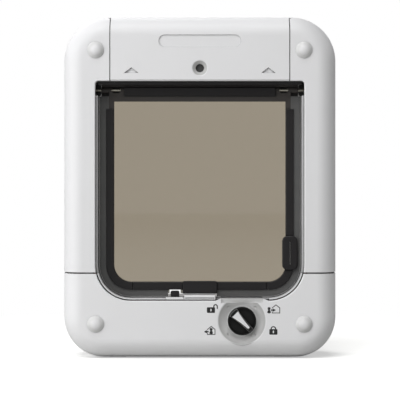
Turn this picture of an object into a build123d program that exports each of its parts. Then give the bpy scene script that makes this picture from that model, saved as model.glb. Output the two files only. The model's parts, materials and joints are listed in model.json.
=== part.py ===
# Cat flap for a door, with a four-way lock, a powered catch and a battery bay.
# Millimetres. The origin is the centre of the casing on the door's inner face.
# +X is to the right as seen from the room, +Z is up and +Y goes through the door to the outside.
# A "distance" is measured from the door's inner face towards the room, so Y = -distance.
import os
from math import sqrt

from build123d import *

os.makedirs("parts", exist_ok=True)

# Clearances
seam_gap = 0.6  # open line between neighbouring mouldings
cover_seam_gap = 1.0  # open line between the posts and the lower cover
lip_gap = 0.8  # open line between the sleeve's lip and the casing
fit_gap = 0.3  # play between assembled pieces
running_gap = 0.05  # radial play of a pin or shaft in its bore

# Casing on the room side
case_top_radius = 32.5
case_bottom_radius = 29.5
case_edge_round = 14.0
case_wall = 2.5
plate_thickness = 2.5
cover_seam_rise = 18.5  # joint of the posts and the lower cover, above the tunnel floor
soft_round = 0.8  # eased edges of the mouth and of small mouldings

# Tunnel and door
tunnel_width = 149.4
tunnel_height = 158.7
tunnel_corner_radius = 24.2
tunnel_top_radius = 2.5
sleeve_wall = 2.0
sleeve_clearance = 2.5  # sleeve and liner short of the far face of the door
lip_width = 0.8
lip_setback = 1.0  # lip behind the front face
lip_groove_depth = 6.0  # open line beside the lip, cut back into the sleeve
door_thickness = 26.0

# Fixing screws and their caps
screw_inset_x = 24.0  # from the casing's sides
screw_inset_z = 25.0  # from the casing's top and bottom
screw_hole_radius = 2.25
screw_head_radius = 4.4
screw_head_depth = 8.0
pillar_radius = 6.0
pillar_gap = 1.5  # from the battery bay's partitions
cap_radius = 6.15
cap_rise = 3.0
cap_stem_radius = 3.9
cap_stem_length = 4.0

# Clip hooks under the casing
hook_width = 12.0
hook_spacing = 122.0
hook_distance = 4.7
hook_depth = 4.3
hook_reach = 0.7  # shows below the lower cover

# Outer frame
outer_depth = 12.0
outer_edge_round = 8.0
outer_pilot_radius = 1.7
outer_boss_radius = 4.5
liner_rim_width = 6.0
liner_rim_depth = 1.5

# Hinge
hinge_drop = 6.0  # axis below the tunnel ceiling
hinge_pin_radius = 1.2
hinge_pin_length = 23.0
ear_setback = 2.1  # ears short of the tunnel's sides, which bares the pins
pocket_reach = 1.8  # hinge pockets past the tunnel's sides
bearing_length = 3.5
bearing_wall = 1.5
ear_pocket_drop = 4.5  # pocket for the ear below the axis
ear_pocket_depth = 6.0
draught_strip_height = 2.5
draught_strip_depth = 4.5

# Flap
flap_gap = 0.9  # between the flap's edge and the tunnel
flap_thickness = 5.0
seal_width = 6.8
seal_thickness = 3.5
frame_border = 3.7
top_border = 8.2  # from the hinge axis down to the pane
top_rib_reach = 5.4  # above the hinge axis
top_rib_thickness = 1.6
ear_web_lap = 2.0  # webs below the ears, behind the seals
pane_thickness = 2.5
pane_groove = 1.5
strip_margin = 4.8  # seal left showing outside the clamp strips
strip_width = 5.6
strip_thickness = 1.2
strip_edge_round = 0.4
side_strip_drop = 13.9  # upper ends of the side strips below the hinge axis
corner_strip_inset = 25.2  # strip joints from the tunnel's sides
top_strip_inset = 18.9
top_strip_height = 6.3
pin_window_width = 6.8
pin_window_height = 4.2
pin_window_inset = 10.8  # from the ear's end to the middle of the window

# Magnets on the flap and on the sill
magnet_block_width = 25.2
magnet_block_lap = 0.7  # block over the pane's lower edge
magnet_block_front = 2.2
magnet_gap = 0.7
magnet_wall = 0.8
holder_width = 22.6
holder_rise = 2.2  # above the tunnel floor
holder_end_wall = 1.2  # behind the magnet
holder_panel_border = 0.7
holder_panel_depth = 0.4
sill_magnet_depth = 7.0

# Sensor pod on the right strip
pod_width = 11.3
pod_height = 25.2
pod_inset = 8.4  # middle of the pod from the tunnel's side
pod_lift = 32.7  # above the tunnel floor
pod_rise = 2.7
pod_corner_radius = 4.0
pod_slit_width = 0.8
pod_slit_height = 17.0
pod_slit_depth = 1.0

# Catch
catch_width = 6.5
catch_thickness = 3.1
catch_gap = 0.6  # from the lowered tab to the clamp strips
catch_foot_drop = 8.7  # below the sill
catch_foot_thickness = 2.0
catch_notch_width = 10.4
strike_thickness = 1.2
strike_lift = 2.9  # above the tunnel floor
strike_gap = 0.8  # beside the lowered catch as the flap passes over it
guide_width = 12.8
guide_rise = 0.8
guide_nose_depth = 3.0
plunger_radius = 2.5
plunger_length = 14.0
solenoid_width = 20.0
solenoid_height = 15.0
solenoid_gap = 0.65  # behind the lower cover
solenoid_drop = 4.0  # below the catch foot

# Four-way lock
dial_drop = 16.3  # axis below the tunnel floor
cam_gap = 1.7  # from the flap to each cam
cam_back_gap = 1.1  # from the rear cam to the coil
cam_floor_gap = 6.9  # from a lowered lobe to the casing's bottom
cam_thickness = 3.0
cam_reach = 20.5
cam_base_radius = 8.0
cam_sweep = 120.0
front_lobe_start = -105.0
rear_lobe_start = 165.0
spindle_radius = 4.0
journal_radius = 3.0
spindle_boss_wall = 3.0
dish_radius = 17.8
dish_floor_radius = 11.0
dish_gap = 0.6  # from the front cam to the dish
dish_wall = 3.2
dish_ledge = 3.2  # flat tongue above the dish, below the tunnel floor
tongue_width = 30.4
tongue_foot_width = 38.4
tongue_gap = 0.2  # from the tongue's foot to the magnet holder
tongue_fall = 1.8  # its lower edge behind the front face
dial_positions = 4
dimple_radius = 0.9
dimple_circle_radius = 14.0
dimple_depth = 0.6
knob_radius = 10.4
knob_rim_height = 4.4
knob_rim_width = 1.0
knob_floor = 1.1
knob_height = 5.6
knob_edge_round = 0.6
grip_broad = 8.4
grip_narrow = 4.0
grip_waist = 0.7  # how far the grip's sides curve in
pointer_angle = 135.0  # direction of the broad end, as seen from the room
pointer_length = 14.3
pointer_broad = 5.9
pointer_narrow = 1.7
pointer_depth = 0.6
drive_width = 5.0
drive_length = 1.8

# Battery bay
bay_gap = 0.8  # from the tray to the cover's side walls
bay_headroom = 1.2  # from the upper cells to where the face starts to curve
bridge_depth = 9.4  # casing behind the battery cover
cover_side_wall = 2.2
cover_side_depth = 12.0
rail_reach = 1.4
rail_thickness = 1.4
rail_setback = 9.3  # behind the front face
rail_lift = 6.6  # lower end above the tunnel ceiling
rail_length = 24.0
partition_wall = 2.6
label_width = 60.2
label_height = 9.1
label_drop = 18.4  # below the casing's top
label_depth = 0.6
cone_radius = 5.85
cone_depth = 1.5
button_hole_radius = 3.05
button_rise = 9.4  # above the tunnel ceiling
arrow_x = 50.0
arrow_width = 10.4
arrow_height = 4.0
arrow_rise = 5.2  # above the tunnel ceiling
arrow_depth = 1.3
cover_edge_bevel = 1.0
cell_radius = 7.25
cell_length = 49.5
cell_nub_radius = 2.75
cell_nub_length = 1.0
cell_rib = 0.2  # between the rows
cell_play = 0.2
contact_thickness = 0.4
contact_width = 9.0
tray_floor = 1.6
tray_wall = 3.6
tray_centre_width = 14.0
tray_leg_width = 4.0
button_gap = 0.7  # from the button to the battery cover
button_radius = 3.4
button_head = 2.0
button_shaft_radius = 2.3
button_travel = 1.2

# Electronics
board_gap = 4.3  # from the tray's legs
board_room = 2.3  # from the board to the tray
board_height = 32.0
board_lift = 6.6  # above the tunnel ceiling
board_thickness = 1.6
standoff_height = 2.3
standoff_radius = 2.5
standoff_inset = 6.0
chip_width = 12.0
chip_height = 1.2
chip_x = -25.0
switch_width = 6.0
switch_height = 1.6
coil_width = 3.0
coil_depth = 2.2

# Battery stack, which sets the casing's depth and the width of the bay
board_back = plate_thickness + standoff_height
board_front = board_back + board_thickness
tray_back = board_front + board_room
cell_distance = tray_back + tray_floor + cell_play + cell_radius
case_inside = cell_distance + cell_radius + cell_play + fit_gap  # inner face of the front wall
case_depth = case_inside + case_wall
cell_pitch = 2 * (cell_radius + cell_play) + cell_rib
cell_total = cell_length + cell_nub_length
cell_inner_end = tray_centre_width / 2 + contact_thickness + cell_play
pocket_outer = cell_inner_end + cell_total + cell_play + contact_thickness
tray_half = pocket_outer + tray_wall
board_width = 2 * (tray_half - tray_leg_width - board_gap)
cover_half = tray_half + bay_gap + cover_side_wall
partition_face = cover_half + seam_gap

# Casing and tunnel
screw_spacing_x = 2 * (partition_face + partition_wall + pillar_gap + pillar_radius)
case_width = screw_spacing_x + 2 * screw_inset_x
cell_stack = 2 * (fit_gap + cell_radius) + cell_play + cell_pitch
top_band = sleeve_wall + cell_stack + bay_headroom + case_edge_round
bottom_band = dial_drop + cam_reach + cam_floor_gap
case_height = top_band + tunnel_height + bottom_band
case_half_height = case_height / 2
screw_spacing_z = case_height - 2 * screw_inset_z
tunnel_ceiling = case_half_height - top_band
tunnel_floor = -case_half_height + bottom_band
tunnel_half = tunnel_width / 2
ceiling_top = tunnel_ceiling + sleeve_wall
sill_underside = tunnel_floor - sleeve_wall
sleeve_front = case_inside - fit_gap
sleeve_length = door_thickness - sleeve_clearance
lip_front = case_depth - lip_setback
mouth_growth = lip_width + lip_gap  # opening in the casing round the lip
liner_inset = -(sleeve_wall + fit_gap)  # the liner runs outside the sleeve
liner_outside = liner_inset - sleeve_wall
coil_inset = -(sleeve_wall + fit_gap)
coil_front = plate_thickness + coil_depth
cover_seam_height = tunnel_floor + cover_seam_rise

# Flap, with a cam of the lock in front of it and one behind it
rear_cam_back = coil_front + cam_back_gap
flap_back = rear_cam_back + cam_thickness + cam_gap
hinge_distance = flap_back + flap_thickness / 2
flap_front = flap_back + flap_thickness
strip_front = flap_front + strip_thickness
front_cam_back = strip_front + cam_gap
seal_back = flap_front - seal_thickness
hinge_z = tunnel_ceiling - hinge_drop
ear_end = tunnel_half - ear_setback
bearing_face = tunnel_half + pocket_reach
bearing_outer = bearing_face + bearing_length + bearing_wall
bearing_back = coil_front + fit_gap
ear_pocket_back = hinge_distance - ear_pocket_depth
cradle_radius = ear_pocket_drop - seam_gap
frame_inset = flap_gap + seal_width
pane_inset = frame_inset + frame_border
pane_top = hinge_z - top_border
seal_top = hinge_z - ear_pocket_drop
strip_inset = flap_gap + strip_margin
strip_bottom = tunnel_floor + strip_inset
side_strip_top = hinge_z - side_strip_drop
corner_strip_end = tunnel_half - corner_strip_inset
top_strip_half = tunnel_half - top_strip_inset
pod_x = tunnel_half - pod_inset
pod_z = tunnel_floor + pod_lift

# Sill, catch and lock
sill_magnet_back = hinge_distance - sill_magnet_depth / 2
holder_back = sill_magnet_back - holder_end_wall
holder_top = tunnel_floor + holder_rise
block_half = magnet_block_width / 2
magnet_block_bottom = holder_top + magnet_gap
magnet_block_top = tunnel_floor + pane_inset + magnet_block_lap
catch_x = -(holder_width + guide_width) / 2 - seam_gap
catch_back = strip_front + catch_gap
catch_middle = catch_back + catch_thickness / 2
catch_top = strip_bottom - catch_gap
catch_foot_top = sill_underside - catch_foot_drop
catch_foot_bottom = catch_foot_top - catch_foot_thickness
notch_left = catch_x - catch_notch_width / 2
guide_back = catch_back - fit_gap - catch_gap
solenoid_top = catch_foot_bottom - solenoid_drop
solenoid_depth = 2 * (case_inside - solenoid_gap - catch_middle)
solenoid_back = catch_middle - solenoid_depth / 2
dial_x = (holder_width + tongue_foot_width) / 2 + tongue_gap
dial_z = tunnel_floor - dial_drop
dish_back = front_cam_back + cam_thickness + dish_gap
dish_floor = dish_back + dish_wall
dish_depth = case_depth - dish_floor
dish_top = tunnel_floor - dish_ledge
knob_back = dish_floor + fit_gap
cam_slot_half = sqrt(cam_reach**2 - (dial_drop - sleeve_wall) ** 2) + seam_gap

# Battery bay
tray_bottom = ceiling_top + fit_gap
lower_cell_z = tray_bottom + fit_gap + cell_play + cell_radius
tray_top = lower_cell_z + cell_pitch + cell_radius + cell_play + fit_gap
button_face = case_inside - button_gap
button_z = tunnel_ceiling + button_rise
label_z = case_half_height - label_drop
arrow_bottom = tunnel_ceiling + arrow_rise
arrow_flank = sqrt((arrow_width / 2) ** 2 + arrow_height**2)
rail_bottom = tunnel_ceiling + rail_lift
rail_distance = case_depth - rail_setback
board_bottom = tunnel_ceiling + board_lift
board_middle = board_bottom + board_height / 2
sides = (-1, 1)


def room_plane(distance):
    """Plane parallel to the door; its normal points into the room."""
    return Plane.XZ.offset(distance)


def panel(distance, width, bottom, top, bottom_radius, top_radius=0):
    """Upright rectangle with rounded lower corners and, if asked, rounded upper ones."""
    with BuildSketch(room_plane(distance)) as outline:
        with Locations((0, (bottom + top) / 2)):
            Rectangle(width, top - bottom)
        fillet(outline.vertices().group_by(Axis.Y)[0], bottom_radius)
        if top_radius:
            fillet(outline.vertices().group_by(Axis.Y)[-1], top_radius)
    return outline.sketch


def case_panel(distance, inset):
    """Outline of the casing, moved inwards."""
    return panel(
        distance,
        case_width - 2 * inset,
        -case_half_height + inset,
        case_half_height - inset,
        case_bottom_radius - inset,
        case_top_radius - inset,
    )


def tunnel_panel(distance, inset):
    """Outline of the tunnel, moved inwards (a negative inset grows it)."""
    return panel(
        distance,
        tunnel_width - 2 * inset,
        tunnel_floor + inset,
        tunnel_ceiling - inset,
        tunnel_corner_radius - inset,
        tunnel_top_radius - inset,
    )


def flap_panel(distance, inset, top):
    """Outline that follows the tunnel's sides and floor at an inset and ends square at a height."""
    return panel(
        distance,
        tunnel_width - 2 * inset,
        tunnel_floor + inset,
        top,
        tunnel_corner_radius - inset,
    )


def oblong(distance, left, right, bottom, top):
    """Rectangle between two X values and two heights."""
    with BuildSketch(room_plane(distance)) as outline:
        with Locations(((left + right) / 2, (bottom + top) / 2)):
            Rectangle(right - left, top - bottom)
    return outline.sketch


def cam_profile(distance, start):
    """Round hub with one raised sector."""
    with BuildSketch(room_plane(distance)) as profile:
        with Locations((dial_x, dial_z)):
            Circle(cam_base_radius)
        with BuildLine():
            rim = CenterArc((dial_x, dial_z), cam_reach, start, cam_sweep)
            Line((dial_x, dial_z), rim @ 0)
            Line((dial_x, dial_z), rim @ 1)
        make_face()
    return profile.sketch


def wedge(length, broad, narrow, waist):
    """Tapered outline along local X with hollow sides, broad at the positive end."""
    middle = (broad + narrow) / 4 - waist
    with BuildSketch() as outline:
        with BuildLine():
            upper = ThreePointArc((length / 2, broad / 2), (0, middle), (-length / 2, narrow / 2))
            lower = ThreePointArc((length / 2, -broad / 2), (0, -middle), (-length / 2, -narrow / 2))
            Line(upper @ 0, lower @ 0)
            Line(upper @ 1, lower @ 1)
        make_face()
    return outline.sketch


def finish(piece, name):
    """Label a finished piece and write it."""
    piece.part.label = name
    export_step(piece.part, f"parts/{name}.step")


# Casing body, before it is parted into posts, battery cover and lower cover
with BuildPart() as case_block:
    extrude(case_panel(0, 0), amount=case_depth)
    fillet(case_block.faces().sort_by(Axis.Y)[0].edges(), case_edge_round)

with BuildPart() as case_cavity:
    extrude(case_panel(0, case_wall), amount=case_inside)
    fillet(case_cavity.faces().sort_by(Axis.Y)[0].edges(), case_edge_round - case_wall)

# Mouth round the sleeve's lip, with its front edge rounded over
with BuildPart() as mouth:
    extrude(
        panel(
            0,
            tunnel_width + 2 * mouth_growth,
            tunnel_floor - mouth_growth,
            tunnel_ceiling,
            tunnel_corner_radius + mouth_growth,
            tunnel_top_radius,
        ),
        amount=case_depth,
    )
    extrude(case_panel(case_depth, 0), amount=case_wall)
    mouth_rim = mouth.faces().filter_by(Axis.Y).sort_by(Axis.Y)[1].inner_wires()[0]
    fillet(mouth_rim.edges(), soft_round)

with BuildPart() as case_shell:
    add(case_block.part)
    add(case_cavity.part, mode=Mode.SUBTRACT)

# Lip, which stands proud of the sleeve inside the lower cover
with BuildPart() as lip:
    extrude(flap_panel(sleeve_front, -lip_width, seal_top), amount=lip_front - sleeve_front)
    extrude(
        oblong(sleeve_front, -case_width, case_width, -case_height, cover_seam_height),
        amount=case_depth,
        mode=Mode.INTERSECT,
    )

# Groove that thins the sleeve behind the lip
with BuildPart() as lip_groove:
    groove_back = sleeve_front - lip_groove_depth
    extrude(flap_panel(groove_back, -sleeve_wall, seal_top), amount=lip_groove_depth)
    extrude(flap_panel(groove_back, -lip_width, seal_top), amount=lip_groove_depth, mode=Mode.SUBTRACT)
    extrude(
        oblong(groove_back, -case_width, case_width, -case_height, cover_seam_height),
        amount=lip_groove_depth,
        mode=Mode.INTERSECT,
    )

# Base frame: back plate, tunnel sleeve with its lip, pillars and bosses
with BuildPart() as base_frame:
    extrude(case_panel(0, case_wall + fit_gap), amount=plate_thickness)
    extrude(tunnel_panel(-sleeve_length, -sleeve_wall), amount=sleeve_length + sleeve_front)
    with BuildSketch(room_plane(0)):
        with GridLocations(screw_spacing_x, screw_spacing_z, 2, 2):
            Circle(pillar_radius)
    extrude(amount=sleeve_front)
    with BuildSketch(room_plane(plate_thickness)):
        with Locations((dial_x, dial_z)):
            Circle(journal_radius + spindle_boss_wall)
    extrude(amount=rear_cam_back - fit_gap - plate_thickness)
    extrude(
        oblong(
            plate_thickness,
            catch_x - solenoid_width / 2,
            catch_x + solenoid_width / 2,
            solenoid_top - solenoid_height,
            solenoid_top,
        ),
        amount=solenoid_back - plate_thickness,
    )
    with BuildSketch(room_plane(plate_thickness)):
        with Locations((0, board_middle)):
            with GridLocations(board_width - 2 * standoff_inset, board_height - 2 * standoff_inset, 2, 2):
                Circle(standoff_radius)
    extrude(amount=standoff_height)
    # Clip hooks
    for side in sides:
        hook_left = side * hook_spacing / 2 - hook_width / 2
        extrude(
            oblong(
                plate_thickness,
                hook_left,
                hook_left + hook_width,
                -case_half_height + case_wall + fit_gap,
                -case_half_height + 2 * case_wall + fit_gap,
            ),
            amount=hook_distance + hook_depth - plate_thickness,
        )
        extrude(
            oblong(
                hook_distance,
                hook_left,
                hook_left + hook_width,
                -case_half_height - hook_reach,
                -case_half_height + 2 * case_wall,
            ),
            amount=hook_depth,
        )
    add(lip.part)
    # Way through
    extrude(tunnel_panel(-sleeve_length, 0), amount=sleeve_length + case_depth, mode=Mode.SUBTRACT)
    add(lip_groove.part, mode=Mode.SUBTRACT)
    # Square corners beside the hinge, and seats for its bearings
    extrude(
        oblong(ear_pocket_back, -tunnel_half, tunnel_half, seal_top, tunnel_ceiling),
        amount=case_depth,
        mode=Mode.SUBTRACT,
    )
    for side in sides:
        near, far = sorted((side * tunnel_half, side * bearing_outer))
        extrude(
            oblong(bearing_back, near, far, seal_top, ceiling_top),
            amount=case_depth,
            mode=Mode.SUBTRACT,
        )
    # Screw holes, with room for the heads
    with BuildSketch(room_plane(0)):
        with GridLocations(screw_spacing_x, screw_spacing_z, 2, 2):
            Circle(screw_hole_radius)
    extrude(amount=case_depth, mode=Mode.SUBTRACT)
    with BuildSketch(room_plane(sleeve_front)):
        with GridLocations(screw_spacing_x, screw_spacing_z, 2, 2):
            Circle(screw_head_radius)
    extrude(amount=-screw_head_depth, mode=Mode.SUBTRACT)
    # Spindle socket
    with BuildSketch(room_plane(plate_thickness)):
        with Locations((dial_x, dial_z)):
            Circle(journal_radius + running_gap)
    extrude(amount=case_depth, mode=Mode.SUBTRACT)
    # Slots for the cams, and seats for the magnet holder and the catch guide
    cam_slot_left = dial_x - cam_slot_half
    cam_slot_right = dial_x + cam_slot_half
    extrude(
        oblong(front_cam_back - seam_gap, cam_slot_left, cam_slot_right, sill_underside, holder_top),
        amount=case_depth,
        mode=Mode.SUBTRACT,
    )
    extrude(
        oblong(rear_cam_back - seam_gap, cam_slot_left, cam_slot_right, sill_underside, holder_top),
        amount=cam_thickness + 2 * seam_gap,
        mode=Mode.SUBTRACT,
    )
    tongue_room = tongue_foot_width / 2 + seam_gap
    extrude(
        oblong(sleeve_front, dial_x - tongue_room, dial_x + tongue_room, sill_underside, holder_top),
        amount=case_depth,
        mode=Mode.SUBTRACT,
    )
    holder_seat = holder_width / 2 + running_gap
    extrude(
        oblong(holder_back - running_gap, -holder_seat, holder_seat, sill_underside, holder_top),
        amount=case_depth,
        mode=Mode.SUBTRACT,
    )
    guide_seat = guide_width / 2 + running_gap
    extrude(
        oblong(
            guide_back - running_gap,
            catch_x - guide_seat,
            catch_x + guide_seat,
            sill_underside,
            holder_top,
        ),
        amount=case_depth,
        mode=Mode.SUBTRACT,
    )
finish(base_frame, "base_frame")

# Hinge bearings: each has a pocket beside the flap's ear and a cradle behind the bared pin
for bearing_name, side in (("hinge_bearing_left", -1), ("hinge_bearing_right", 1)):
    with BuildPart() as hinge_bearing:
        near, far = sorted((side * tunnel_half, side * bearing_outer))
        extrude(oblong(bearing_back, near, far, seal_top, ceiling_top), amount=sleeve_front - bearing_back)
        near, far = sorted((side * tunnel_half, side * bearing_face))
        extrude(
            oblong(ear_pocket_back, near, far, seal_top, tunnel_ceiling),
            amount=case_depth,
            mode=Mode.SUBTRACT,
        )
        with BuildSketch(Plane.YZ.offset(side * bearing_face)):
            with Locations((-hinge_distance, hinge_z)):
                Circle(cradle_radius)
                Rectangle(
                    cradle_radius,
                    2 * cradle_radius,
                    align=(Align.MIN, Align.CENTER),
                    mode=Mode.INTERSECT,
                )
        extrude(amount=-side * (bearing_face - ear_end - fit_gap))
        with BuildSketch(Plane.YZ.offset(side * ear_end)):
            with Locations((-hinge_distance, hinge_z)):
                Circle(hinge_pin_radius + running_gap)
        extrude(amount=side * (bearing_face + bearing_length + fit_gap - ear_end), mode=Mode.SUBTRACT)
    finish(hinge_bearing, bearing_name)

# Upper casing: side posts, top corners and the bridge behind the battery cover
with BuildPart() as partitions:
    for side in sides:
        near, far = sorted((side * partition_face, side * (partition_face + partition_wall)))
        extrude(
            oblong(bridge_depth - case_wall, near, far, ceiling_top + fit_gap, case_half_height),
            amount=case_depth,
        )
    add(case_block.part, mode=Mode.INTERSECT)

with BuildPart() as upper_casing:
    add(case_shell.part)
    extrude(
        oblong(0, -case_width, case_width, cover_seam_height + cover_seam_gap / 2, case_height),
        amount=2 * case_depth,
        mode=Mode.INTERSECT,
    )
    extrude(
        oblong(bridge_depth, -partition_face, partition_face, 0, case_height),
        amount=case_depth,
        mode=Mode.SUBTRACT,
    )
    add(mouth.part, mode=Mode.SUBTRACT)
    add(partitions.part)
    for side in sides:
        near, far = sorted((side * (partition_face - seam_gap), side * (cover_half + rail_reach + fit_gap)))
        extrude(
            oblong(rail_distance - fit_gap, near, far, rail_bottom - seam_gap, case_height),
            amount=rail_thickness + 2 * fit_gap,
            mode=Mode.SUBTRACT,
        )
    with BuildSketch(room_plane(case_inside - fit_gap)):
        with GridLocations(screw_spacing_x, screw_spacing_z, 2, 2):
            Circle(cap_stem_radius + running_gap)
    extrude(amount=case_depth, mode=Mode.SUBTRACT)
finish(upper_casing, "upper_casing")

# Battery cover: slides up off the bay on two rails
with BuildPart() as cover_sides:
    for side in sides:
        near, far = sorted((side * (cover_half - cover_side_wall), side * cover_half))
        extrude(
            oblong(case_depth - cover_side_depth, near, far, tray_bottom, case_half_height),
            amount=cover_side_depth,
        )
        near, far = sorted((side * (cover_half - cover_side_wall), side * (cover_half + rail_reach)))
        extrude(
            oblong(rail_distance, near, far, rail_bottom, rail_bottom + rail_length),
            amount=rail_thickness,
        )
    add(case_block.part, mode=Mode.INTERSECT)

with BuildPart() as battery_cover:
    add(case_shell.part)
    extrude(
        oblong(bridge_depth + seam_gap, -cover_half, cover_half, tunnel_ceiling, case_height),
        amount=case_depth,
        mode=Mode.INTERSECT,
    )
    lower_edge = battery_cover.edges().filter_by(Axis.X).group_by(Axis.Z)[0].sort_by(Axis.Y)[0]
    chamfer(lower_edge, cover_edge_bevel)
    add(cover_sides.part)
    with BuildSketch(room_plane(case_depth)):
        with Locations((0, label_z)):
            SlotOverall(label_width, label_height)
    extrude(amount=-label_depth, mode=Mode.SUBTRACT)
    with BuildSketch(room_plane(case_depth)):
        for side in sides:
            with Locations((side * arrow_x, arrow_bottom + arrow_height / 2)):
                Triangle(a=arrow_width, b=arrow_flank, c=arrow_flank)
    extrude(amount=-arrow_depth, mode=Mode.SUBTRACT)
    with Locations(room_plane(case_depth)):
        with Locations((0, button_z)):
            Cone(
                button_hole_radius,
                cone_radius,
                cone_depth,
                align=(Align.CENTER, Align.CENTER, Align.MAX),
                mode=Mode.SUBTRACT,
            )
    with BuildSketch(room_plane(case_inside - fit_gap)):
        with Locations((0, button_z)):
            Circle(button_hole_radius)
    extrude(amount=case_depth, mode=Mode.SUBTRACT)
finish(battery_cover, "battery_cover")

# Lower cover with the tongue below the flap and the dished dial
with BuildPart() as dish:
    with Locations(room_plane(dish_floor)):
        with Locations((dial_x, dial_z)):
            Cone(
                dish_floor_radius,
                dish_radius,
                dish_depth,
                align=(Align.CENTER, Align.CENTER, Align.MIN),
            )
    extrude(
        oblong(0, -case_width, case_width, -case_height, dish_top),
        amount=2 * case_depth,
        mode=Mode.INTERSECT,
    )

with BuildPart() as lower_cover:
    add(case_shell.part)
    extrude(
        oblong(0, -case_width, case_width, -case_height, cover_seam_height - cover_seam_gap / 2),
        amount=2 * case_depth,
        mode=Mode.INTERSECT,
    )
    add(mouth.part, mode=Mode.SUBTRACT)
    with BuildSketch(room_plane(case_inside)):
        with Locations((dial_x, 0)):
            Polygon(
                (-tongue_width / 2, tunnel_floor),
                (-tongue_foot_width / 2, tunnel_floor - mouth_growth),
                (-tongue_foot_width / 2, dish_top - case_wall),
                (tongue_foot_width / 2, dish_top - case_wall),
                (tongue_foot_width / 2, tunnel_floor - mouth_growth),
                (tongue_width / 2, tunnel_floor),
                align=None,
            )
    extrude(amount=case_wall)
    with BuildSketch(room_plane(dish_back)):
        with Locations((dial_x, dial_z)):
            Circle(dish_radius)
        with Locations((dial_x, sill_underside - fit_gap - case_height / 2)):
            Rectangle(case_width, case_height, mode=Mode.INTERSECT)
    extrude(amount=dish_wall + case_wall)
    add(dish.part, mode=Mode.SUBTRACT)
    with BuildSketch(Plane.YZ.offset(dial_x - tongue_width / 2)):
        with BuildLine():
            Polyline(
                (-case_depth, tunnel_floor),
                (tongue_fall - case_depth, dish_top),
                (-case_depth, dish_top),
                close=True,
            )
        make_face()
    extrude(amount=tongue_width, mode=Mode.SUBTRACT)
    with BuildSketch(room_plane(dish_back)):
        with Locations((dial_x, dial_z)):
            Circle(spindle_radius + running_gap)
    extrude(amount=case_depth, mode=Mode.SUBTRACT)
    dimple_slope = (dimple_circle_radius - dish_floor_radius) / (dish_radius - dish_floor_radius)
    with BuildSketch(room_plane(dish_floor + dish_depth * dimple_slope - dimple_depth)):
        with Locations((dial_x, dial_z)):
            with PolarLocations(dimple_circle_radius, dial_positions, start_angle=180 / dial_positions):
                Circle(dimple_radius)
    extrude(amount=case_depth, mode=Mode.SUBTRACT)
    with BuildSketch(room_plane(case_inside - fit_gap)):
        with GridLocations(screw_spacing_x, screw_spacing_z, 2, 2):
            Circle(cap_stem_radius + running_gap)
    extrude(amount=case_depth, mode=Mode.SUBTRACT)
    for side in sides:
        slot_half = hook_width / 2 + fit_gap
        slot_middle = side * hook_spacing / 2
        extrude(
            oblong(
                hook_distance - fit_gap,
                slot_middle - slot_half,
                slot_middle + slot_half,
                -case_height,
                -case_half_height + 2 * case_wall,
            ),
            amount=hook_depth + 2 * fit_gap,
            mode=Mode.SUBTRACT,
        )
finish(lower_cover, "lower_cover")

# Outer frame
with BuildPart() as outer_cavity:
    extrude(case_panel(-door_thickness, case_wall), amount=case_wall - outer_depth)
    fillet(outer_cavity.faces().sort_by(Axis.Y)[-1].edges(), outer_edge_round - case_wall)

with BuildPart() as outer_frame:
    extrude(case_panel(-door_thickness, 0), amount=-outer_depth)
    fillet(outer_frame.faces().sort_by(Axis.Y)[-1].edges(), outer_edge_round)
    add(outer_cavity.part, mode=Mode.SUBTRACT)
    with BuildSketch(room_plane(-door_thickness)):
        with GridLocations(screw_spacing_x, screw_spacing_z, 2, 2):
            Circle(outer_boss_radius)
    extrude(amount=case_wall - outer_depth)
    with BuildSketch(room_plane(-door_thickness)):
        with GridLocations(screw_spacing_x, screw_spacing_z, 2, 2):
            Circle(outer_pilot_radius)
    extrude(amount=case_wall - outer_depth, mode=Mode.SUBTRACT)
    extrude(
        tunnel_panel(-door_thickness, liner_outside - running_gap),
        amount=-outer_depth,
        mode=Mode.SUBTRACT,
    )
finish(outer_frame, "outer_frame")

# Liner, fixed in the outer frame by its rim; it telescopes over the sleeve
with BuildPart() as tunnel_liner:
    extrude(
        tunnel_panel(sleeve_length - door_thickness, liner_outside),
        amount=-sleeve_length - outer_depth,
    )
    extrude(
        tunnel_panel(-door_thickness - outer_depth, liner_outside - liner_rim_width),
        amount=-liner_rim_depth,
    )
    extrude(tunnel_panel(sleeve_length, liner_inset), amount=-case_height, mode=Mode.SUBTRACT)
    fillet(tunnel_liner.faces().sort_by(Axis.Y)[-1].edges(), soft_round)
finish(tunnel_liner, "tunnel_liner")

# Screw caps
cap_sphere_radius = (cap_radius**2 + cap_rise**2) / (2 * cap_rise)
cap_places = {
    "screw_cap_top_left": (-1, 1),
    "screw_cap_top_right": (1, 1),
    "screw_cap_bottom_left": (-1, -1),
    "screw_cap_bottom_right": (1, -1),
}
for cap_name, (across, up) in cap_places.items():
    cap_plane = Plane(
        (across * screw_spacing_x / 2, -case_depth, up * screw_spacing_z / 2),
        x_dir=(1, 0, 0),
        z_dir=(0, -1, 0),
    )
    with BuildPart(cap_plane) as screw_cap:
        with Locations((0, 0, cap_rise - cap_sphere_radius)):
            Sphere(cap_sphere_radius)
        split(bisect_by=cap_plane, keep=Keep.TOP)
        Cylinder(
            cap_stem_radius,
            cap_stem_length,
            align=(Align.CENTER, Align.CENTER, Align.MAX),
        )
    finish(screw_cap, cap_name)

# Draught strip on the ceiling, in front of the hinge
with BuildPart() as draught_strip:
    extrude(
        oblong(
            sleeve_front - draught_strip_depth,
            -tunnel_half,
            tunnel_half,
            tunnel_ceiling - draught_strip_height,
            tunnel_ceiling,
        ),
        amount=draught_strip_depth,
    )
finish(draught_strip, "draught_strip")

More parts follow.
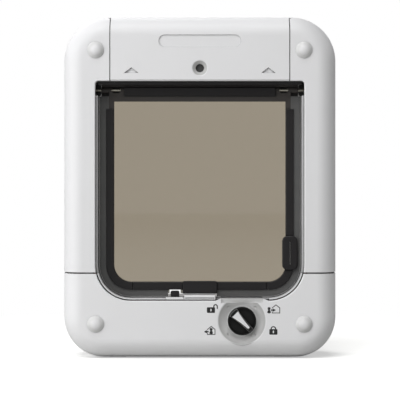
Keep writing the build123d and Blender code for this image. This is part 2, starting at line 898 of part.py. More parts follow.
# Magnet holder on the sill
with BuildPart() as sill_magnet:
    extrude(
        oblong(
            sill_magnet_back,
            -holder_width / 2 + magnet_wall,
            holder_width / 2 - magnet_wall,
            sill_underside + magnet_wall,
            holder_top - magnet_wall,
        ),
        amount=sill_magnet_depth,
    )
finish(sill_magnet, "sill_magnet")

with BuildPart() as magnet_holder:
    extrude(
        oblong(holder_back, -holder_width / 2, holder_width / 2, sill_underside, holder_top),
        amount=sleeve_front - holder_back,
    )
    extrude(
        oblong(sleeve_front, -holder_width / 2, holder_width / 2, tunnel_floor - lip_width, holder_top),
        amount=lip_front - sleeve_front,
    )
    nose = magnet_holder.edges().filter_by(Axis.X).group_by(Axis.Z)[-1].sort_by(Axis.Y)[0]
    fillet(nose, soft_round)
    extrude(
        oblong(
            lip_front - holder_panel_depth,
            -holder_width / 2 + holder_panel_border,
            holder_width / 2 - holder_panel_border,
            tunnel_floor - lip_width + holder_panel_border,
            holder_top - soft_round - holder_panel_border,
        ),
        amount=case_depth,
        mode=Mode.SUBTRACT,
    )
    add(sill_magnet.part, mode=Mode.SUBTRACT)
finish(magnet_holder, "magnet_holder")

# Catch guide on the sill
with BuildPart() as catch_guide:
    guide_left = catch_x - guide_width / 2
    guide_right = catch_x + guide_width / 2
    extrude(
        oblong(guide_back, guide_left, guide_right, sill_underside, tunnel_floor),
        amount=sleeve_front - guide_back,
    )
    extrude(
        oblong(
            lip_front - guide_nose_depth,
            guide_left,
            guide_right,
            tunnel_floor - lip_width,
            tunnel_floor + guide_rise,
        ),
        amount=guide_nose_depth,
    )
    extrude(
        oblong(
            catch_back - fit_gap,
            catch_x - catch_width / 2 - fit_gap,
            catch_x + catch_width / 2 + fit_gap,
            sill_underside,
            tunnel_floor,
        ),
        amount=catch_thickness + 2 * fit_gap,
        mode=Mode.SUBTRACT,
    )
finish(catch_guide, "catch_guide")

# Catch with its plunger and solenoid
with BuildPart() as catch:
    extrude(
        oblong(
            catch_back,
            catch_x - catch_width / 2,
            catch_x + catch_width / 2,
            catch_foot_bottom,
            catch_top,
        ),
        amount=catch_thickness,
    )
    tip = catch.edges().filter_by(Axis.Y).group_by(Axis.Z)[-1]
    chamfer(tip, soft_round)
    extrude(
        oblong(
            catch_middle - plunger_radius,
            catch_x - catch_width / 2 - fit_gap - plunger_radius,
            catch_x + catch_width / 2 + fit_gap + plunger_radius,
            catch_foot_bottom,
            catch_foot_top,
        ),
        amount=2 * plunger_radius,
    )
finish(catch, "catch")

with BuildPart() as plunger:
    with BuildSketch(Plane.XY.offset(catch_foot_bottom)):
        with Locations((catch_x, -catch_middle)):
            Circle(plunger_radius)
    extrude(amount=-plunger_length)
finish(plunger, "catch_plunger")

with BuildPart() as solenoid:
    extrude(
        oblong(
            solenoid_back,
            catch_x - solenoid_width / 2,
            catch_x + solenoid_width / 2,
            solenoid_top - solenoid_height,
            solenoid_top,
        ),
        amount=solenoid_depth,
    )
    with BuildSketch(Plane.XY.offset(solenoid_top)):
        with Locations((catch_x, -catch_middle)):
            Circle(plunger_radius + running_gap)
    extrude(amount=solenoid_drop - plunger_length - fit_gap, mode=Mode.SUBTRACT)
finish(solenoid, "solenoid")

# Four-way lock: spindle with two cams
with BuildPart() as lock_cam:
    with BuildSketch(room_plane(rear_cam_back)):
        with Locations((dial_x, dial_z)):
            Circle(spindle_radius)
    extrude(amount=knob_back - rear_cam_back)
    with BuildSketch(room_plane(rear_cam_back)):
        with Locations((dial_x, dial_z)):
            Circle(journal_radius)
    extrude(amount=plate_thickness + fit_gap - rear_cam_back)
    extrude(cam_profile(front_cam_back, front_lobe_start), amount=cam_thickness)
    extrude(cam_profile(rear_cam_back, rear_lobe_start), amount=cam_thickness)
    with BuildSketch(room_plane(knob_back)):
        with Locations((dial_x, dial_z)):
            Rectangle(drive_width, drive_width)
    extrude(amount=drive_length)
finish(lock_cam, "lock_cam")

# Knob: a shallow cup with a tapered grip across it, broad end at the upper left
knob_place = Location((dial_x, dial_z), pointer_angle)
grip_top = knob_back + knob_height
with BuildPart() as knob_pointer:
    with BuildSketch(room_plane(grip_top - pointer_depth)):
        with Locations(knob_place):
            add(wedge(pointer_length, pointer_broad, pointer_narrow, grip_waist / 2))
    extrude(amount=pointer_depth)
finish(knob_pointer, "knob_pointer")

with BuildPart() as knob:
    with BuildSketch(room_plane(knob_back)):
        with Locations((dial_x, dial_z)):
            Circle(knob_radius)
    extrude(amount=knob_rim_height)
    fillet(knob.faces().sort_by(Axis.Y)[0].edges(), knob_edge_round)
    with BuildSketch(room_plane(knob_back + knob_floor + drive_length)):
        with Locations((dial_x, dial_z)):
            Circle(knob_radius - knob_rim_width)
    extrude(amount=knob_height, mode=Mode.SUBTRACT)
    with BuildSketch(room_plane(knob_back)):
        with Locations(knob_place):
            add(wedge(2 * knob_radius, grip_broad, grip_narrow, grip_waist))
        with Locations((dial_x, dial_z)):
            Circle(knob_radius - knob_edge_round, mode=Mode.INTERSECT)
    extrude(amount=knob_height)
    fillet(knob.faces().sort_by(Axis.Y)[0].edges(), knob_edge_round)
    add(knob_pointer.part, mode=Mode.SUBTRACT)
    with BuildSketch(room_plane(knob_back)):
        with Locations((dial_x, dial_z)):
            Rectangle(drive_width + 2 * running_gap, drive_width + 2 * running_gap)
    extrude(amount=drive_length + running_gap, mode=Mode.SUBTRACT)
finish(knob, "lock_knob")

# Smoked pane
with BuildPart() as flap_pane:
    extrude(
        flap_panel(hinge_distance - pane_thickness / 2, pane_inset - pane_groove, pane_top + pane_groove),
        amount=pane_thickness,
    )
finish(flap_pane, "flap_pane")

# Hinge pins, fast in the flap's ears
pin_end = bearing_face + bearing_length
for pin_name, side in (("hinge_pin_left", -1), ("hinge_pin_right", 1)):
    with BuildPart() as hinge_pin:
        with BuildSketch(Plane.YZ.offset(side * pin_end)):
            with Locations((-hinge_distance, hinge_z)):
                Circle(hinge_pin_radius)
        extrude(amount=-side * hinge_pin_length)
    finish(hinge_pin, pin_name)

# Flap frame: border round the pane, a round top edge with an ear at each end, and a rib against draughts
with BuildPart() as flap_frame:
    extrude(flap_panel(flap_back, frame_inset, hinge_z), amount=flap_thickness)
    extrude(
        oblong(flap_back, -ear_end, ear_end, seal_top - ear_web_lap, hinge_z),
        amount=seal_back - flap_back,
    )
    extrude(
        oblong(
            hinge_distance - top_rib_thickness / 2,
            -ear_end,
            ear_end,
            hinge_z,
            hinge_z + top_rib_reach,
        ),
        amount=top_rib_thickness,
    )
    with BuildSketch(Plane.YZ.offset(-ear_end)):
        with Locations((-hinge_distance, hinge_z)):
            Circle(flap_thickness / 2)
    extrude(amount=2 * ear_end)
    extrude(flap_panel(flap_back, pane_inset, pane_top), amount=flap_thickness, mode=Mode.SUBTRACT)
    add(flap_pane.part, mode=Mode.SUBTRACT)
    with BuildSketch(room_plane(hinge_distance - hinge_pin_radius)):
        for side in sides:
            with Locations((side * (ear_end - pin_window_inset), hinge_z)):
                SlotOverall(pin_window_width, pin_window_height)
    extrude(amount=flap_thickness, mode=Mode.SUBTRACT)
    for side in sides:
        with BuildSketch(Plane.YZ.offset(side * pin_end)):
            with Locations((-hinge_distance, hinge_z)):
                Circle(hinge_pin_radius)
        extrude(amount=-side * hinge_pin_length, mode=Mode.SUBTRACT)
finish(flap_frame, "flap_frame")

# Edge seals, parted by the catch notch and the magnet block
seal_spans = {
    "edge_seal_left": (-case_width, notch_left),
    "edge_seal_right": (block_half, case_width),
}
for seal_name, (left, right) in seal_spans.items():
    with BuildPart() as edge_seal:
        extrude(flap_panel(seal_back, flap_gap, seal_top), amount=seal_thickness)
        extrude(flap_panel(seal_back, frame_inset, hinge_z), amount=seal_thickness, mode=Mode.SUBTRACT)
        extrude(
            oblong(seal_back, left, right, -case_height, case_height),
            amount=seal_thickness,
            mode=Mode.INTERSECT,
        )
    finish(edge_seal, seal_name)

# Strike plate between the left seal and the magnet block, forked over the lowered catch
with BuildPart() as strike_plate:
    extrude(
        oblong(
            seal_back,
            notch_left + running_gap,
            -block_half - running_gap,
            tunnel_floor + strike_lift,
            tunnel_floor + frame_inset,
        ),
        amount=strike_thickness,
    )
    fork_half = catch_width / 2 + strike_gap
    extrude(
        oblong(seal_back, catch_x - fork_half, catch_x + fork_half, tunnel_floor, strip_bottom),
        amount=strike_thickness,
        mode=Mode.SUBTRACT,
    )
finish(strike_plate, "strike_plate")

# Clamp strips over the joint between the frame and the seals
pod_top = pod_z + pod_height / 2
pod_bottom = pod_z - pod_height / 2
strip_spans = {
    "left_strip": (-case_width, -corner_strip_end, -case_height, side_strip_top),
    "right_strip": (corner_strip_end, case_width, pod_top + running_gap, side_strip_top),
    "right_corner_strip": (corner_strip_end, case_width, -case_height, pod_bottom - running_gap),
    "bottom_left_strip": (
        fit_gap - corner_strip_end,
        -block_half - running_gap,
        -case_height,
        tunnel_floor + tunnel_corner_radius,
    ),
    "bottom_right_strip": (
        block_half + running_gap,
        corner_strip_end - fit_gap,
        -case_height,
        tunnel_floor + tunnel_corner_radius,
    ),
}
for strip_name, (left, right, bottom, top) in strip_spans.items():
    with BuildPart() as strip:
        extrude(flap_panel(flap_front, strip_inset, hinge_z), amount=strip_thickness)
        extrude(
            flap_panel(flap_front, strip_inset + strip_width, case_height),
            amount=strip_thickness,
            mode=Mode.SUBTRACT,
        )
        extrude(oblong(flap_front, left, right, bottom, top), amount=strip_thickness, mode=Mode.INTERSECT)
        fillet(strip.faces().sort_by(Axis.Y)[0].edges(), strip_edge_round)
    finish(strip, strip_name)

with BuildPart() as top_strip:
    top_strip_bottom = hinge_z + flap_thickness / 2 - fit_gap * 2 - top_strip_height
    extrude(
        oblong(
            flap_front,
            -top_strip_half,
            top_strip_half,
            top_strip_bottom,
            top_strip_bottom + top_strip_height,
        ),
        amount=strip_thickness,
    )
    fillet(top_strip.faces().sort_by(Axis.Y)[0].edges(), strip_edge_round)
finish(top_strip, "top_strip")

# Magnet block at the bottom of the flap
with BuildPart() as flap_magnet:
    extrude(
        oblong(
            seal_back + magnet_wall,
            -block_half + magnet_wall,
            block_half - magnet_wall,
            magnet_block_bottom + magnet_wall,
            tunnel_floor + frame_inset - magnet_wall,
        ),
        amount=seal_thickness,
    )
finish(flap_magnet, "flap_magnet")

with BuildPart() as magnet_block:
    extrude(
        oblong(flap_front, -block_half, block_half, magnet_block_bottom, magnet_block_top),
        amount=magnet_block_front,
    )
    block_corners = magnet_block.edges().filter_by(Axis.Y).group_by(Axis.Z)[-1]
    chamfer(block_corners, magnet_wall)
    fillet(magnet_block.faces().sort_by(Axis.Y)[0].edges(), strip_edge_round)
    extrude(
        oblong(seal_back, -block_half, block_half, magnet_block_bottom, tunnel_floor + frame_inset),
        amount=seal_thickness,
    )
    add(flap_magnet.part, mode=Mode.SUBTRACT)
finish(magnet_block, "magnet_block")

# Sensor pod
with BuildPart() as sensor_pod:
    with BuildSketch(room_plane(flap_front)):
        with Locations((pod_x, pod_z)):
            RectangleRounded(pod_width, pod_height, pod_corner_radius)
    extrude(amount=pod_rise)
    fillet(sensor_pod.faces().sort_by(Axis.Y)[0].edges(), soft_round)
    with BuildSketch(room_plane(flap_front + pod_rise)):
        with Locations((pod_x, pod_z)):
            SlotOverall(pod_slit_height, pod_slit_width, rotation=90)
    extrude(amount=-pod_slit_depth, mode=Mode.SUBTRACT)
finish(sensor_pod, "sensor_pod")

# Battery tray with half-round seats for the cells and a guide for the memory button
cell_rows = (lower_cell_z, lower_cell_z + cell_pitch)
with BuildPart() as battery_tray:
    extrude(
        oblong(tray_back, -tray_half, tray_half, tray_bottom, tray_top),
        amount=cell_distance - tray_back,
    )
    for row in cell_rows:
        for near, far in ((-pocket_outer, -tray_centre_width / 2), (tray_centre_width / 2, pocket_outer)):
            with BuildSketch(Plane.YZ.offset(near)):
                with Locations((-cell_distance, row)):
                    Circle(cell_radius + cell_play)
            extrude(amount=far - near, mode=Mode.SUBTRACT)
    for side in sides:
        near, far = sorted((side * tray_half, side * (tray_half - tray_leg_width)))
        extrude(
            oblong(plate_thickness, near, far, board_bottom, tray_top),
            amount=tray_back - plate_thickness,
        )
    with BuildSketch(room_plane(tray_back)):
        with Locations((0, button_z)):
            Circle(button_shaft_radius + running_gap)
    extrude(amount=case_depth, mode=Mode.SUBTRACT)
finish(battery_tray, "battery_tray")

# Cells, with opposite ends up in the two rows
battery_number = 0
for row, nub_side in zip(cell_rows, sides):
    for side in sides:
        battery_number += 1
        start = cell_inner_end if side > 0 else -cell_inner_end - cell_total
        with BuildPart() as battery:
            with BuildSketch(Plane.YZ.offset(start + (cell_nub_length if nub_side < 0 else 0))):
                with Locations((-cell_distance, row)):
                    Circle(cell_radius)
            extrude(amount=cell_length)
            with BuildSketch(Plane.YZ.offset(start if nub_side < 0 else start + cell_length)):
                with Locations((-cell_distance, row)):
                    Circle(cell_nub_radius)
            extrude(amount=cell_nub_length)
        finish(battery, f"battery_{battery_number}")

# Spring contacts at both ends of each pocket
with BuildPart() as contacts:
    for row in cell_rows:
        for side in sides:
            for place in (tray_centre_width / 2, pocket_outer - contact_thickness):
                near, far = sorted((side * place, side * (place + contact_thickness)))
                extrude(
                    oblong(
                        cell_distance - contact_width / 2,
                        near,
                        far,
                        row - contact_width / 2,
                        row + contact_width / 2,
                    ),
                    amount=contact_width / 2,
                )
finish(contacts, "battery_contacts")

# Memory button: sits just behind the cone in the cover and is pressed with a pen tip
button_end = board_front + switch_height + fit_gap + button_travel
with BuildPart() as memory_button:
    with BuildSketch(room_plane(button_face)):
        with Locations((0, button_z)):
            Circle(button_radius)
    extrude(amount=-button_head)
    with BuildSketch(room_plane(button_end)):
        with Locations((0, button_z)):
            Circle(button_shaft_radius)
    extrude(amount=button_face - button_head - button_end)
finish(memory_button, "memory_button")

# Circuit board with the reader chip and the learn switch
with BuildPart() as circuit_board:
    extrude(
        oblong(board_back, -board_width / 2, board_width / 2, board_bottom, board_bottom + board_height),
        amount=board_thickness,
    )
finish(circuit_board, "circuit_board")

board_parts = {
    "reader_chip": (chip_x, board_middle, chip_width, chip_height),
    "learn_switch": (0, button_z, switch_width, switch_height),
}
for part_name, (x, z, width, height) in board_parts.items():
    with BuildPart() as board_part:
        with BuildSketch(room_plane(board_front)):
            with Locations((x, z)):
                Rectangle(width, width)
        extrude(amount=height)
    finish(board_part, part_name)

# Aerial coil round the tunnel
with BuildPart() as aerial_coil:
    extrude(tunnel_panel(plate_thickness, coil_inset - coil_width), amount=coil_depth)
    extrude(tunnel_panel(plate_thickness, coil_inset), amount=coil_depth, mode=Mode.SUBTRACT)
finish(aerial_coil, "aerial_coil")
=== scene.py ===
import json
import bpy
import numpy as np
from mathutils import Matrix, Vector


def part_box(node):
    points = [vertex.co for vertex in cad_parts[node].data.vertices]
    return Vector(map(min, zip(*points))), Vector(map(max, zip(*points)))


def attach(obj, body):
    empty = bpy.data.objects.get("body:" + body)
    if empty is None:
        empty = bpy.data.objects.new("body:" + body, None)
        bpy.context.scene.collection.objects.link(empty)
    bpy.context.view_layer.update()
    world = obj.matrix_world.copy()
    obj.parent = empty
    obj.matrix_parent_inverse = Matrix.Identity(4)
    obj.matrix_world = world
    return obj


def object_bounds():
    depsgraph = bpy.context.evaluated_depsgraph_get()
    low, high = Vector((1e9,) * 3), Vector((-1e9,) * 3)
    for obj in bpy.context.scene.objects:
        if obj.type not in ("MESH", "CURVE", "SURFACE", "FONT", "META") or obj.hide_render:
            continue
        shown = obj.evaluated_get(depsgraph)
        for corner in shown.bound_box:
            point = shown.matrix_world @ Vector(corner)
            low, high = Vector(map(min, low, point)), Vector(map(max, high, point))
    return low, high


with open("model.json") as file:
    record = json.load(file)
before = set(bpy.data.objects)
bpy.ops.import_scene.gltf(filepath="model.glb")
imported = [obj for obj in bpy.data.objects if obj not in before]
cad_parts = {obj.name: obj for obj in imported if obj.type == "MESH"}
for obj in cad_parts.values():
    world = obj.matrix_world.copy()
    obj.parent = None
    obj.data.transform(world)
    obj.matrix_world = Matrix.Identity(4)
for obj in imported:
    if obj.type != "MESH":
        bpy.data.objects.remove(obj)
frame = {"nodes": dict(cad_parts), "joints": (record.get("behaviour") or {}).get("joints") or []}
nodes = frame["nodes"]
cadLow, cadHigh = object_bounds()
mm = 0.001
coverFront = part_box("lower_cover")[0].y  # the casing's flat front
dial = next(joint for joint in frame["joints"] if joint["name"] == "lock_turn")["pos_m"]
print("frame loaded,", len(nodes), "nodes")


def toLinear(hexColour):
    # sRGB to linear: c / 12.92 in the toe, ((c + 0.055) / 1.055) ^ 2.4 above it
    srgb = np.array([int(hexColour[i:i + 2], 16) for i in (1, 3, 5)]) / 255
    linear = np.where(srgb <= 0.04045, srgb / 12.92, ((srgb + 0.055) / 1.055) ** 2.4)
    return (*linear.tolist(), 1.0)


def socketOf(sockets, key):
    # a socket by its number, or the one of that name which the node's settings leave in use
    return sockets[key] if isinstance(key, int) else next(s for s in sockets if s.name == key and s.enabled)


def addNode(tree, kind, settings=None, links=None):
    # one node, its settings by property or socket, and the outputs that feed its sockets
    node = tree.nodes.new(kind)
    for key, value in (settings or {}).items():
        if isinstance(key, str) and hasattr(node, key):
            setattr(node, key, value)
        else:
            socketOf(node.inputs, key).default_value = value
    for key, source in (links or {}).items():
        tree.links.new(source, socketOf(node.inputs, key))
    return node


def newMaterial(name):
    # an empty material with its output and the object coordinates, in metres
    material = bpy.data.materials.new(name)
    material.use_nodes = True
    tree = material.node_tree
    tree.nodes.clear()
    output = addNode(tree, "ShaderNodeOutputMaterial")
    place = addNode(tree, "ShaderNodeTexCoord").outputs["Object"]
    return material, tree, output, place


# what the plastics share: detail of the noise, samples for the painted hollow light and for the edges, and how softly
# a tone begins
skinDetail = {
    "grainDetail": 2.0, "grainRoughness": 0.6, "flowDetail": 3.0, "flowRoughness": 0.55,
    "hollowSamples": 12, "edgeSamples": 4, "wornLean": (0.05, 0.3), "wornStepMm": 0.1,
    "dishDepthMm": (0.1, 0.4), "dishTopStepMm": 0.2, "dishRimStepMm": 0.3}


def mouldedPlastic(name, look, dishes=()):
    # moulded plastic: spark-eroded grain in the skin, faint flow marks in the colour and the gloss
    material, tree, output, place = newMaterial(name)
    detail = skinDetail
    grain = addNode(tree, "ShaderNodeTexNoise", {
        "Scale": 1 / (look["grainMm"] * mm), "Detail": detail["grainDetail"],
        "Roughness": detail["grainRoughness"]}, {"Vector": place})
    flow = addNode(tree, "ShaderNodeTexNoise", {
        "Scale": 1 / (look["flowMm"] * mm), "Detail": detail["flowDetail"],
        "Roughness": detail["flowRoughness"]}, {"Vector": place})
    tint = addNode(tree, "ShaderNodeMix",
                   {"data_type": "RGBA", "A": toLinear(look["dark"]), "B": toLinear(look["light"])},
                   {"Factor": flow.outputs["Fac"]})

    if "hollow" in look:  # painted light where the mouldings close in on each other: a dark tone paints shade there, a pale one a highlight
        closeness = addNode(tree, "ShaderNodeAmbientOcclusion",
                            {"samples": detail["hollowSamples"], "Distance": look["hollowMm"] * mm})
        shut, free = look["hollowShare"]
        openness = addNode(tree, "ShaderNodeMapRange", {"From Min": shut, "From Max": free},
                           {"Value": closeness.outputs["AO"]})
        tint = addNode(tree, "ShaderNodeMix", {"data_type": "RGBA", "A": toLinear(look["hollow"])},
                       {"Factor": openness.outputs["Result"], "B": socketOf(tint.outputs, "Result")})

    if "worn" in look:  # painted light on the foremost rounded edges, most where the normal leans 45 degrees: a pale tone paints a highlight, a grey one shade
        facing = addNode(tree, "ShaderNodeTexCoord").outputs["Normal"]
        lean = addNode(tree, "ShaderNodeSeparateXYZ", {}, {"Vector": facing}).outputs["Y"]
        square = addNode(tree, "ShaderNodeMath", {"operation": "MULTIPLY"}, {0: lean, 1: lean})
        fold = addNode(tree, "ShaderNodeMath", {"operation": "PINGPONG", 1: 0.5}, {0: square.outputs["Value"]})
        depth = addNode(tree, "ShaderNodeSeparateXYZ", {}, {"Vector": place}).outputs["Y"]
        raised = addNode(tree, "ShaderNodeMapRange", {
            "From Min": look["wornBehind"], "From Max": look["wornBehind"] - detail["wornStepMm"] * mm},
            {"Value": depth})
        slight, full = detail["wornLean"]
        paintedEdgeAmount = addNode(tree, "ShaderNodeMapRange", {"From Min": slight, "From Max": full},
                         {"Value": fold.outputs["Value"], "To Max": raised.outputs["Result"]})
        tint = addNode(tree, "ShaderNodeMix", {"data_type": "RGBA", "B": toLinear(look["worn"])},
                       {"Factor": paintedEdgeAmount.outputs["Result"], "A": socketOf(tint.outputs, "Result")})

    for dish in dishes:  # about an axis, behind the flat front: no painted hollow shade, but a tone from middle to rim, which is painted shade where the rim is greyer
        rim, top = dish["radiusMm"], dish["topMm"]
        offset = addNode(tree, "ShaderNodeVectorMath", {"operation": "SUBTRACT", 1: dish["centre"]}, {0: place})
        across = addNode(tree, "ShaderNodeSeparateXYZ", {}, {"Vector": offset.outputs["Vector"]})
        below = addNode(tree, "ShaderNodeMapRange", {
            "From Min": top * mm, "From Max": (top - detail["dishTopStepMm"]) * mm},
            {"Value": across.outputs["Z"]})
        shallow, deep = detail["dishDepthMm"]
        behind = addNode(tree, "ShaderNodeMapRange", {"From Min": shallow * mm, "From Max": deep * mm},
                         {"Value": across.outputs["Y"], "To Max": below.outputs["Result"]})
        level = addNode(tree, "ShaderNodeCombineXYZ", {}, {"X": across.outputs["X"], "Y": across.outputs["Z"]})
        radius = addNode(tree, "ShaderNodeVectorMath", {"operation": "LENGTH"},
                         {"Vector": level.outputs["Vector"]}).outputs["Value"]
        inside = addNode(tree, "ShaderNodeMapRange", {
            "From Min": rim * mm, "From Max": (rim - detail["dishRimStepMm"]) * mm},
            {"Value": radius, "To Max": behind.outputs["Result"]})
        rimward = addNode(tree, "ShaderNodeMapRange", {"From Min": dish["innerMm"] * mm, "From Max": rim * mm},
                          {"Value": radius})
        bowl = addNode(tree, "ShaderNodeMix", {
            "data_type": "RGBA", "A": toLinear(dish["innerTint"]), "B": toLinear(dish["rimTint"])},
            {"Factor": rimward.outputs["Result"]})
        tint = addNode(tree, "ShaderNodeMix", {"data_type": "RGBA"}, {
            "Factor": inside.outputs["Result"], "A": socketOf(tint.outputs, "Result"),
            "B": socketOf(bowl.outputs, "Result")})

    gloss = addNode(tree, "ShaderNodeMapRange", {
        "To Min": look["roughness"] - look["glossDrift"], "To Max": look["roughness"] + look["glossDrift"]},
        {"Value": flow.outputs["Fac"]})
    rounded = addNode(tree, "ShaderNodeBevel",
                      {"samples": detail["edgeSamples"], "Radius": look["edgeMm"] * mm})
    skin = addNode(tree, "ShaderNodeBump",
                   {"Strength": look["grainStrength"], "Distance": look["grainDepthMm"] * mm},
                   {"Height": grain.outputs["Fac"], "Normal": rounded.outputs["Normal"]})
    shader = addNode(tree, "ShaderNodeBsdfPrincipled",
                     {"IOR": look["ior"], "Specular IOR Level": look["specular"]},
                     {"Base Color": socketOf(tint.outputs, "Result"), "Roughness": gloss.outputs["Result"],
                      "Normal": skin.outputs["Normal"]})
    tree.links.new(shader.outputs["BSDF"], output.inputs["Surface"])
    return material


# ABS, injection moulded in a lightly spark-eroded tool: satin white with soft, wide highlights
whiteLook = {
    "dark": "#e4e4e5", "light": "#e8e8ea", "ior": 1.54, "specular": 0.3, "roughness": 0.46, "glossDrift": 0.03,
    "grainMm": 0.6, "grainDepthMm": 0.01, "grainStrength": 0.25,  # true grit is near 0.05 mm, coarsened to show
    # the dark hollow tone is painted shade in the seams and recesses
    "flowMm": 40.0, "edgeMm": 0.3, "hollow": "#1e1e1d", "hollowMm": 1.6, "hollowShare": (0.3, 0.95)}
whiteAbs = mouldedPlastic("whiteMouldedAbs", whiteLook)

# the screw caps, with painted shade making them greyer on the slopes of their domes, as they shade in the photo
capAbs = mouldedPlastic("whiteCapAbs", {
    **whiteLook, "worn": "#d6d6d6", "wornBehind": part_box("screw_cap_top_left")[1].y})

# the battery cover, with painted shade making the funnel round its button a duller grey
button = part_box("memory_button")
funnelAbs = mouldedPlastic("whiteFunnelAbs", {**whiteLook, "hollowShare": (0.12, 0.75)}, [
    {"centre": (0.0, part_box("battery_cover")[0].y, (button[0].z + button[1].z) / 2), "topMm": 6.2,
     "innerMm": 3.0, "innerTint": "#b4b4b3", "radiusMm": 6.2, "rimTint": "#b4b4b3"}])

# the tunnel in the same white, duller, with painted shade that dims it towards the flap, where it is deep
tunnelAbs = mouldedPlastic("whiteTunnelAbs", {
    **whiteLook, "specular": 0.05, "roughness": 0.6, "hollowMm": 14.0, "hollowShare": (0.36, 1.0)})

# the lower cover, its white painted a little lighter than the casing's as painted light: no painted hollow shade on
# its tongue, and painted shade that dims the dish towards the rim as a steeper one would
tongueRiseMm = 14.7  # from the dial's axis to the middle of the tongue
coverAbs = mouldedPlastic("whiteCoverAbs", {
    **whiteLook, "dark": "#e7e7e8", "light": "#ebebed", "hollowMm": 2.0}, [
    {"centre": (dial[0], coverFront, dial[2] + tongueRiseMm * mm), "topMm": 6.0,
     "innerMm": 2.0, "innerTint": "#e4e4e4", "radiusMm": 17.0, "rimTint": "#e4e4e4"},
    {"centre": (dial[0], coverFront, dial[2]), "topMm": 13.1,
     "innerMm": 11.0, "innerTint": "#e4e4e4", "radiusMm": 18.0, "rimTint": "#a6a6a5"}])

# the same resin in charcoal, a matt frame that takes little light
charcoalAbs = mouldedPlastic("charcoalMouldedAbs", {
    "dark": "#383533", "light": "#403c3a", "ior": 1.54, "specular": 0.3, "roughness": 0.48, "glossDrift": 0.04,
    "grainMm": 0.5, "grainDepthMm": 0.012, "grainStrength": 0.4, "flowMm": 15.0, "edgeMm": 0.2,
    # the near-black hollow tone is painted shade in its gaps and recesses
    "hollow": "#0b0a0a", "hollowMm": 2.5, "hollowShare": (0.4, 0.95)})

# soft elastomer wiper: dull, slightly dusty grey
greyElastomer = mouldedPlastic("greyWiperElastomer", {
    "dark": "#555555", "light": "#616160", "ior": 1.50, "specular": 0.3, "roughness": 0.68, "glossDrift": 0.05,
    "grainMm": 0.7, "grainDepthMm": 0.02, "grainStrength": 0.5, "flowMm": 9.0, "edgeMm": 0.3})

# black ABS for strips and catch: satin, nearly neutral black
blackLook = {
    "dark": "#1c1b1c", "light": "#222021", "ior": 1.54, "specular": 0.25, "roughness": 0.42, "glossDrift": 0.04,
    "grainMm": 0.5, "grainDepthMm": 0.01, "grainStrength": 0.35, "flowMm": 12.0, "edgeMm": 0.25,
    # the darker hollow tone is painted shade in its gaps and recesses
    "hollow": "#050505", "hollowMm": 2.5, "hollowShare": (0.4, 0.95)}
blackAbs = mouldedPlastic("blackMouldedAbs", blackLook)

# the pod in the same black, with a painted highlight that tones the floor of its narrow slit pale
podAbs = mouldedPlastic("blackPodAbs", {
    **blackLook, "hollow": "#868684", "hollowMm": 1.5, "hollowShare": (0.37, 0.47)})

# black ABS from a polished tool: painted shade makes the knob deep black in its cup, and a painted highlight makes it
# paler along its grip
gripDepthMm = 0.8  # of the knob's front that takes the painted highlight
polishedAbs = mouldedPlastic("polishedBlackAbs", {
    "dark": "#1c1c1c", "light": "#222222", "ior": 1.54, "specular": 0.12, "roughness": 0.2, "glossDrift": 0.03,
    "grainMm": 0.8, "grainDepthMm": 0.006, "grainStrength": 0.2, "flowMm": 10.0, "edgeMm": 0.2,
    "hollow": "#020202", "hollowMm": 4.0, "hollowShare": (0.4, 0.95),
    "worn": "#707070", "wornBehind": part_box("lock_knob")[0].y + gripDepthMm * mm})

# acetal, natural: waxy off-white cams and trays
naturalAcetal = mouldedPlastic("naturalAcetal", {
    "dark": "#dcdbd3", "light": "#e4e3dc", "ior": 1.48, "specular": 0.5, "roughness": 0.45, "glossDrift": 0.04,
    "grainMm": 0.6, "grainDepthMm": 0.008, "grainStrength": 0.3, "flowMm": 14.0, "edgeMm": 0.3})

# silicone rubber of the memory button: soft, dull dark grey
buttonSilicone = mouldedPlastic("greyButtonSilicone", {
    "dark": "#464646", "light": "#4e4e4e", "ior": 1.43, "specular": 0.4, "roughness": 0.55, "glossDrift": 0.03,
    "grainMm": 0.5, "grainDepthMm": 0.008, "grainStrength": 0.3, "flowMm": 5.0, "edgeMm": 0.2})

# sintered ferrite: dark, dry and speckled
sinteredFerrite = mouldedPlastic("sinteredFerrite", {
    "dark": "#232323", "light": "#333231", "ior": 1.9, "specular": 0.3, "roughness": 0.7, "glossDrift": 0.08,
    "grainMm": 0.35, "grainDepthMm": 0.03, "grainStrength": 0.7, "flowMm": 0.8, "edgeMm": 0.1})

# moulding epoxy of chip packages and switches: matt black
chipEpoxy = mouldedPlastic("blackChipEpoxy", {
    "dark": "#1d1d1e", "light": "#272728", "ior": 1.55, "specular": 0.4, "roughness": 0.55, "glossDrift": 0.05,
    "grainMm": 0.3, "grainDepthMm": 0.01, "grainStrength": 0.5, "flowMm": 3.0, "edgeMm": 0.1})

# pad-printing ink: a thin dull film, a little uneven where the pad lifted
printInk = mouldedPlastic("padPrintInk", {
    "dark": "#242425", "light": "#2f2f2f", "ior": 1.5, "specular": 0.3, "roughness": 0.6, "glossDrift": 0.05,
    "grainMm": 0.25, "grainDepthMm": 0.005, "grainStrength": 0.4, "flowMm": 1.2, "edgeMm": 0.02})
print("plastics made")


